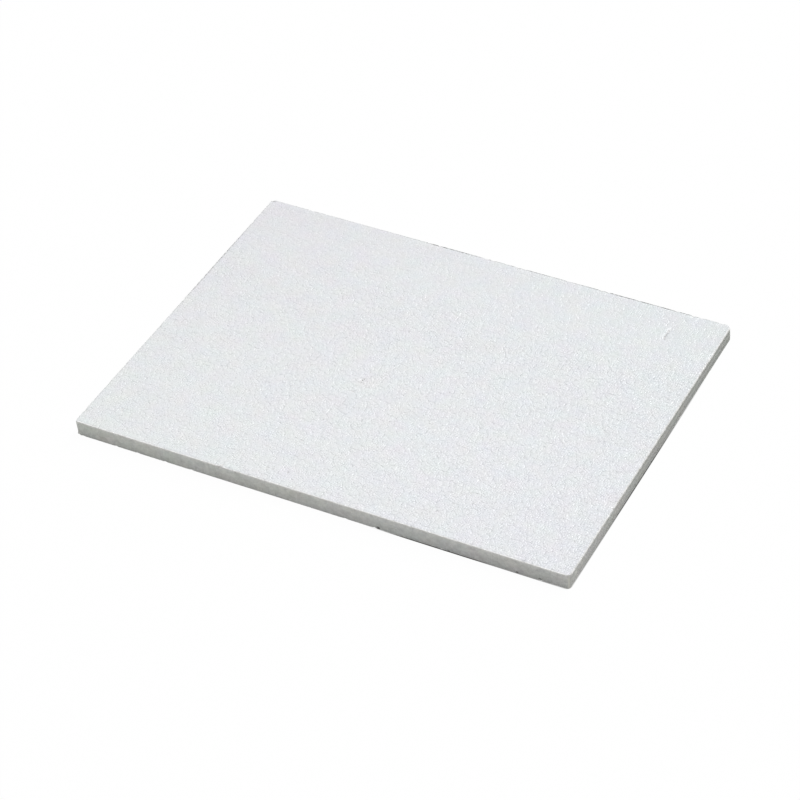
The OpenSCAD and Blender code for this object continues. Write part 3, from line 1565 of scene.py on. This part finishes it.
    def _lip(self, nodes: Nodes, slab: Slab, surface: Surface) -> Value:
        """Work out the height of the uneven lip that the mould leaves along the arrises.

        Args:
            nodes: The tree to add to.
            slab: The slab.
            surface: What the lip depends on.

        Returns:
            The height at each point.
        """
        _, _, z = nodes.split(surface.place)
        inwards = surface.inset - (slab.thickness - z)
        wave = self._noise(nodes, surface.place, self.lip_wave, 2.0).ramp(*self.lip_wave_edge)
        unevenness = (self.lip_spread * wave - self.lip_spread / 2) * inwards.ramp(*self.lip_spread_edge)
        return (1.0 + unevenness) * self.lip_height * inwards.fade(*self.lip_edge)

    def _wrinkles(self, nodes: Nodes, surface: Surface, tint: Value) -> Value:
        """Work out the small swellings of the shrunken skin, which meet in sharp folds.

        Args:
            nodes: The tree to add to.
            surface: What the wrinkles depend on.
            tint: The random number of each bead.

        Returns:
            The height at each point.
        """
        noise = self._noise(nodes, surface.place, self.bend_size, 0.0, "Color")
        bend = nodes.vector("SUBTRACT", noise, NOISE_MIDDLE)
        bend = nodes.vector("SCALE", bend, scale=2 * self.bend_reach)
        swellings = nodes.add(
            "ShaderNodeTexVoronoi",
            {"feature": "F1"},
            {
                "Vector": nodes.vector("ADD", surface.place, bend),
                "Scale": 1 / self.wrinkle_size,
                "Randomness": self.wrinkle_order,
            },
        )
        away = nodes.value(swellings, "Distance")
        wrinkles = self.groove_share * surface.rise.ramp(*self.groove_edge) - away * away
        strength = self.wrinkle_least + self.wrinkle_spread * tint
        strength = strength * (1.0 - (1.0 - self.wall_share) * surface.wall)
        strength = strength * (1.0 - self.back_flatness * surface.along.ramp(*self.back_edge))
        strength = strength * (1.0 - self.left_flatness * (-surface.across).ramp(*self.left_edge))
        return wrinkles * strength * self.wrinkle_height

    @staticmethod
    def _attribute(nodes: Nodes, name: str) -> Value:
        """Read one attribute of the skin."""
        return nodes.value(nodes.add("ShaderNodeAttribute", {"attribute_name": name}), "Fac")

    @staticmethod
    def _noise(nodes: Nodes, place: Value, size: float, detail: float, output: str = "Fac") -> Value:
        """Return noise whose blotches have this size."""
        inputs = {"Vector": place, "Scale": 1 / size, "Detail": detail, "Roughness": 0.5}
        return nodes.value(nodes.add("ShaderNodeTexNoise", None, inputs), output)


# ---------------------------------------------------------------------------------------------
# The foam block
# ---------------------------------------------------------------------------------------------


@dataclass
class FoamBlock:
    """The whole part, which is one piece.

    The bottom of an open gap lies between the least and the most depth and inside the border, and
    points that are nearer to each other than the spread belong to one gap.
    """

    packing: Packing = field(default_factory=Packing)
    relief: Relief = field(default_factory=Relief)
    finish: FoamFinish = field(default_factory=FoamFinish)
    gap_least_depth: float = 0.3 * MM
    gap_most_depth: float = 1.5 * MM
    gap_border: float = 5.0 * MM
    gap_spread: float = 1.3 * MM
    fill: float = 1.0

    def build(self, slab: Slab) -> bpy.types.Object:
        """Build the block around its solid.

        Args:
            slab: The sound slab.

        Returns:
            The finished piece, which rides on the part's body and replaces the solid.
        """
        solid = bpy.data.objects[NODE]
        gaps = self._gap_places(solid, slab)
        sites = self.packing.sites(slab, gaps)
        LOG.info("packing: %d beads and %d open gaps", len(sites) - len(gaps), len(gaps))
        skin = Division(Skin(slab), sites).build()
        piece = self.relief.apply(skin, solid, self.finish.material(slab), "bead_foam_block")
        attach(piece, BODY)
        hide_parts(NODE)
        LOG.info("%s: %d faces", piece.name, len(piece.data.polygons))
        return piece

    def _gap_places(self, solid: bpy.types.Object, slab: Slab) -> list[Vector]:
        """Find the bottoms of the open gaps in the two large faces of the solid.

        Args:
            solid: The part's own solid.
            slab: The sound slab.

        Returns:
            The middle of the bottom of each gap.
        """
        groups: list[list[Vector]] = []
        for vertex in solid.data.vertices:
            point = vertex.co
            depth = min(slab.thickness - point.z, point.z)
            if not self.gap_least_depth < depth < self.gap_most_depth:
                continue
            if slab.inset(point.x, point.y) < self.gap_border:
                continue
            for group in groups:
                if (group[0] - point).length < self.gap_spread:
                    group.append(point.copy())
                    break
            else:
                groups.append([point.copy()])
        return [sum(group, Vector()) / len(group) for group in groups]


# ---------------------------------------------------------------------------------------------
# Studio
# ---------------------------------------------------------------------------------------------


@dataclass(frozen=True)
class Lamp:
    """A square soft lamp that points at the middle of the floor."""

    name: str
    power: float
    size: float
    azimuth: float
    elevation: float
    distance: float = 10.0

    def hang(self) -> None:
        """Add the lamp to the scene. The azimuth is counted from +X towards +Y, in degrees."""
        lamp = bpy.data.lights.new(self.name, "AREA")
        lamp.shape = "SQUARE"
        lamp.size = self.size
        lamp.energy = self.power
        holder = bpy.data.objects.new(self.name, lamp)
        azimuth, elevation = math.radians(self.azimuth), math.radians(self.elevation)
        toward = Vector((math.cos(azimuth), math.sin(azimuth), 0)) * math.cos(elevation)
        toward.z = math.sin(elevation)
        holder.location = toward * self.distance
        holder.rotation_euler = toward.to_track_quat("Z", "Y").to_euler()
        bpy.context.scene.collection.objects.link(holder)


@dataclass
class Studio:
    """The pale floor, the soft light and the camera.

    The floor shows glow_share of its own white and the rest as lit, which keeps the shadow. It lights the
    block by its bounce, and a thin dark line of painted contact shadow marks where the block touches it.
    """

    floor_reach: float = 4.0
    floor_bounce: Colour = (0.465, 0.455, 0.375, 1.0)
    floor_white: Colour = (1.0, 1.0, 1.0, 1.0)
    glow_share: float = 0.975
    # Painted contact shadow: a dark matt colour on the floor along parts of the foot of the slab.
    contact_shadow_colour: Colour = (0.06, 0.06, 0.06, 1.0)
    contact_radius: float = 3.0 * MM
    contact_edge: tuple[float, float] = (0.1 * MM, 0.55 * MM)
    contact_shadow_spots: tuple[Spot, ...] = (
        Spot.mm(74, -125, 0, 44, 0.75),
        Spot.mm(104, -125, 0, 72, 0.6),
        Spot.mm(160, -20, 0, 60, 0.3),
        Spot.mm(160, -30, 0, 130, 0.7),
    )
    sky_strength: float = 0.32
    lamps: tuple[Lamp, ...] = (
        Lamp("key_lamp", 430.0, 3.6, 68, 64),
        Lamp("back_lamp", 255.0, 3.0, 82, 35),
        Lamp("fill_lamp", 130.0, 3.6, -105, 45),
    )
    lens: float = 129.32
    sensor: float = 36.0
    azimuth: float = math.radians(26.746)
    elevation: float = math.radians(39.3)
    roll: float = math.radians(-1.109)
    target: tuple[float, float, float] = (6.53 * MM, -25.76 * MM, 10.0 * MM)
    distance: float = 1.7169
    clip_end: float = 20.0

    def build(self, slab: Slab) -> None:
        """Build the floor, the sky, the lamps and the camera.

        Args:
            slab: The slab that lies on the floor.
        """
        self._floor(slab)
        self._sky()
        for lamp in self.lamps:
            lamp.hang()
        self._camera()
        bpy.context.scene.view_settings.view_transform = "Standard"

    def _background_ray(self, nodes: Nodes) -> Value:
        """Tell the rays that show the background itself or its mirror image.

        Args:
            nodes: The tree to add to.

        Returns:
            1 for these rays and 0 for those that light the scene.
        """
        path = nodes.add("ShaderNodeLightPath")
        seen = nodes.value(path, "Is Camera Ray") + nodes.value(path, "Is Glossy Ray")
        return nodes.math("MINIMUM", seen + nodes.value(path, "Is Transmission Ray"), 1.0)

    def _contact(self, nodes: Nodes, slab: Slab) -> Value:
        """Work out how much painted contact shadow darkens the floor, close along the foot of the slab.

        Args:
            nodes: The tree to add to.
            slab: The slab.

        Returns:
            The share of the painted shadow colour at each point.
        """
        place = nodes.value(nodes.add("ShaderNodeTexCoord"), "Object")
        x, y, _ = nodes.split(place)
        over_x = nodes.math("MAXIMUM", abs(x) - (slab.length / 2 - self.contact_radius), 0.0)
        over_y = nodes.math("MAXIMUM", abs(y) - (slab.width / 2 - self.contact_radius), 0.0)
        outside = nodes.measure("LENGTH", nodes.join(over_x, over_y, 0.0)) - self.contact_radius
        return spotted(nodes, place, self.contact_shadow_spots) * abs(outside).fade(*self.contact_edge)

    def _floor(self, slab: Slab) -> None:
        """Lay the floor, which looks white and keeps the block's shadow.

        Args:
            slab: The slab that lies on it.
        """
        mesh = bpy.data.meshes.new("floor")
        r = self.floor_reach
        mesh.from_pydata([(-r, -r, 0), (r, -r, 0), (r, r, 0), (-r, r, 0)], [], [(0, 1, 2, 3)])
        floor = bpy.data.objects.new("floor", mesh)
        bpy.context.scene.collection.objects.link(floor)
        material = bpy.data.materials.new("pale_floor")
        nodes = empty_tree(material)
        glow = nodes.value(nodes.add("ShaderNodeEmission", None, {"Color": self.floor_white}), "Emission")
        shown = nodes.mix(self.glow_share, nodes.diffuse(self.floor_white), glow)
        # Painted contact shadow: a dark matt colour mixed into the floor along the foot of the slab.
        with_contact_shadow = nodes.mix(self._contact(nodes, slab), shown, nodes.diffuse(self.contact_shadow_colour))
        surface = nodes.mix(self._background_ray(nodes), nodes.diffuse(self.floor_bounce), with_contact_shadow)
        nodes.add("ShaderNodeOutputMaterial", None, {"Surface": surface})
        floor.data.materials.append(material)

    def _sky(self) -> None:
        """Set the even light from all round, behind a white background."""
        world = bpy.data.worlds.new("pale_sky")
        bpy.context.scene.world = world
        nodes = empty_tree(world)
        strength = self.sky_strength + (1.0 - self.sky_strength) * self._background_ray(nodes)
        light = nodes.add("ShaderNodeBackground", None, {"Color": self.floor_white, "Strength": strength})
        nodes.add("ShaderNodeOutputWorld", None, {"Surface": nodes.value(light, "Background")})

    def _camera(self) -> None:
        """Set the camera to look down on the block from the front and the right.

        The azimuth turns it from the front towards the right, and the roll about its own view.
        """
        sin_a, cos_a = math.sin(self.azimuth), math.cos(self.azimuth)
        sin_e, cos_e = math.sin(self.elevation), math.cos(self.elevation)
        back = Vector((sin_a * cos_e, -cos_a * cos_e, sin_e))
        level = Vector((cos_a, sin_a, 0))
        upright = back.cross(level)
        right = math.cos(self.roll) * level + math.sin(self.roll) * upright
        up = math.cos(self.roll) * upright - math.sin(self.roll) * level
        lens = bpy.data.cameras.new("camera")
        lens.lens = self.lens
        lens.sensor_width = self.sensor
        lens.clip_end = self.clip_end
        camera = bpy.data.objects.new("camera", lens)
        turn = Matrix((right, up, back)).transposed().to_4x4()
        camera.matrix_world = Matrix.Translation(Vector(self.target) + self.distance * back) @ turn
        bpy.context.scene.collection.objects.link(camera)
        bpy.context.scene.camera = camera


def main() -> None:
    """Load the frame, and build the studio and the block."""
    logging.basicConfig(level=logging.INFO, format="%(message)s", stream=sys.stdout)
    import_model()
    slab = Slab.of_part()
    Studio().build(slab)
    FoamBlock().build(slab)


if __name__ == "__main__":
    main()
